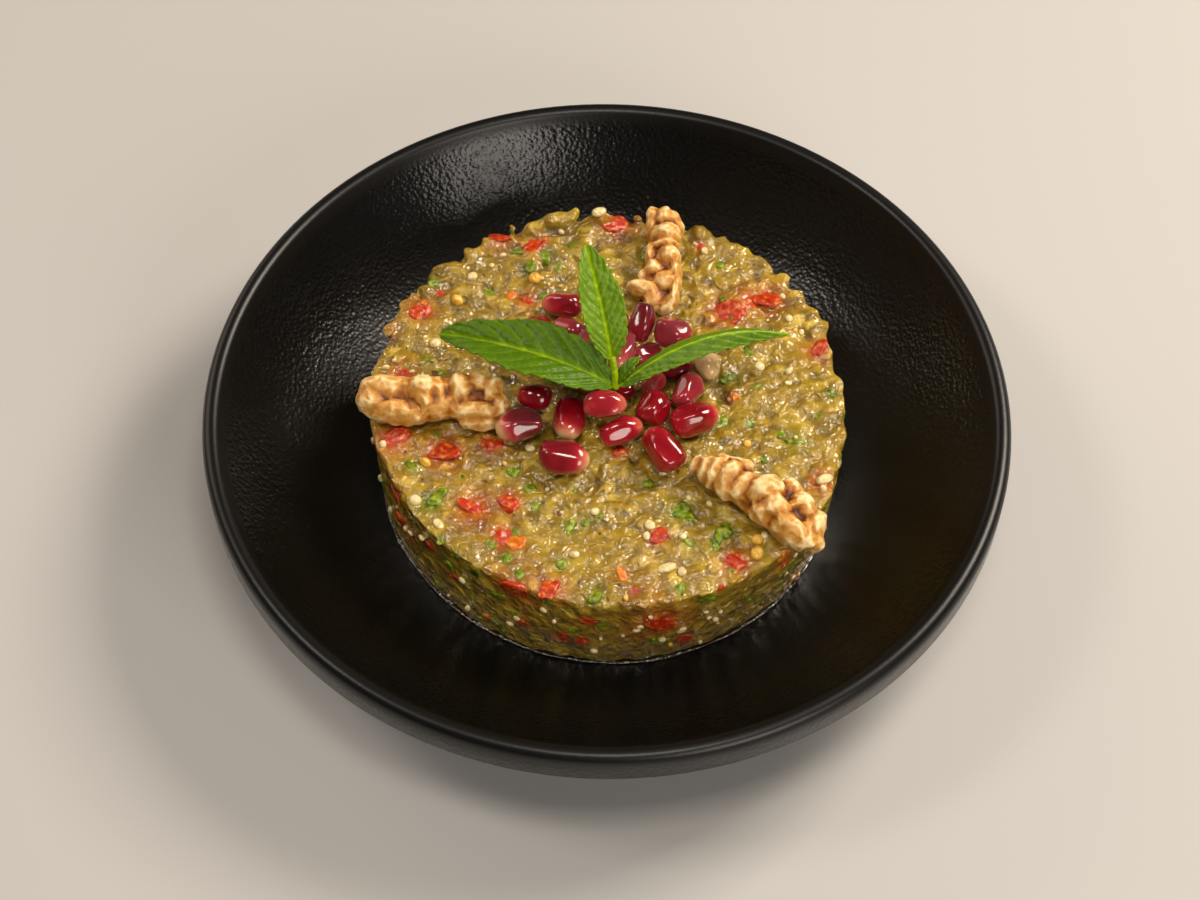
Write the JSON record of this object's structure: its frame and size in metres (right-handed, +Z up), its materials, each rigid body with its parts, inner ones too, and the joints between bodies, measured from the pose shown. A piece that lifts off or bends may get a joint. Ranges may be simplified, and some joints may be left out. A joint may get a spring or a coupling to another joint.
{
  "type": "baba ganoush in a bowl",
  "caption": "Moulded round of chopped aubergine dip in a low black bowl, topped with walnut pieces, pomegranate arils and a mint sprig.",
  "frame": {"origin": "middle of the bowl's foot, on the plane it stands on", "axes": "+Z up along the bowl's axis; +X to the right and +Y away from the side that is seen first"},
  "size_m": [0.168, 0.168, 0.0595],
  "materials": {
    "black_stoneware": "satin black glaze with a fine orange-peel relief, smoother on the lip",
    "aubergine_mash": "wet chopped roast aubergine, olive tan, with bits of red pepper, green herb and seeds",
    "walnut_kernel": "golden tan walnut kernel with pale cream ridges",
    "pomegranate": "glossy translucent crimson with pale tips",
    "mint_leaf": "fresh green leaf, quilted between its veins"
  },
  "bodies": {
    "root": {"bowl": "black_stoneware", "baba_ganoush": "aubergine_mash", "walnut_left": "walnut_kernel", "walnut_back": "walnut_kernel", "walnut_right": "walnut_kernel", "mint_sprig": "mint_leaf", "pomegranate_01": "pomegranate", "pomegranate_02": "pomegranate", "pomegranate_03": "pomegranate", "pomegranate_04": "pomegranate", "pomegranate_05": "pomegranate", "pomegranate_06": "pomegranate", "pomegranate_07": "pomegranate", "pomegranate_08": "pomegranate", "pomegranate_09": "pomegranate", "pomegranate_10": "pomegranate", "pomegranate_11": "pomegranate", "pomegranate_12": "pomegranate", "pomegranate_13": "pomegranate", "pomegranate_14": "pomegranate", "pomegranate_15": "pomegranate", "pomegranate_16": "pomegranate", "pomegranate_17": "pomegranate", "pomegranate_18": "pomegranate", "pomegranate_19": "pomegranate", "pomegranate_20": "pomegranate", "pomegranate_21": "pomegranate", "pomegranate_22": "pomegranate", "pomegranate_23": "pomegranate", "pomegranate_24": "pomegranate", "pomegranate_25": "pomegranate"}
  },
  "joints": []
}
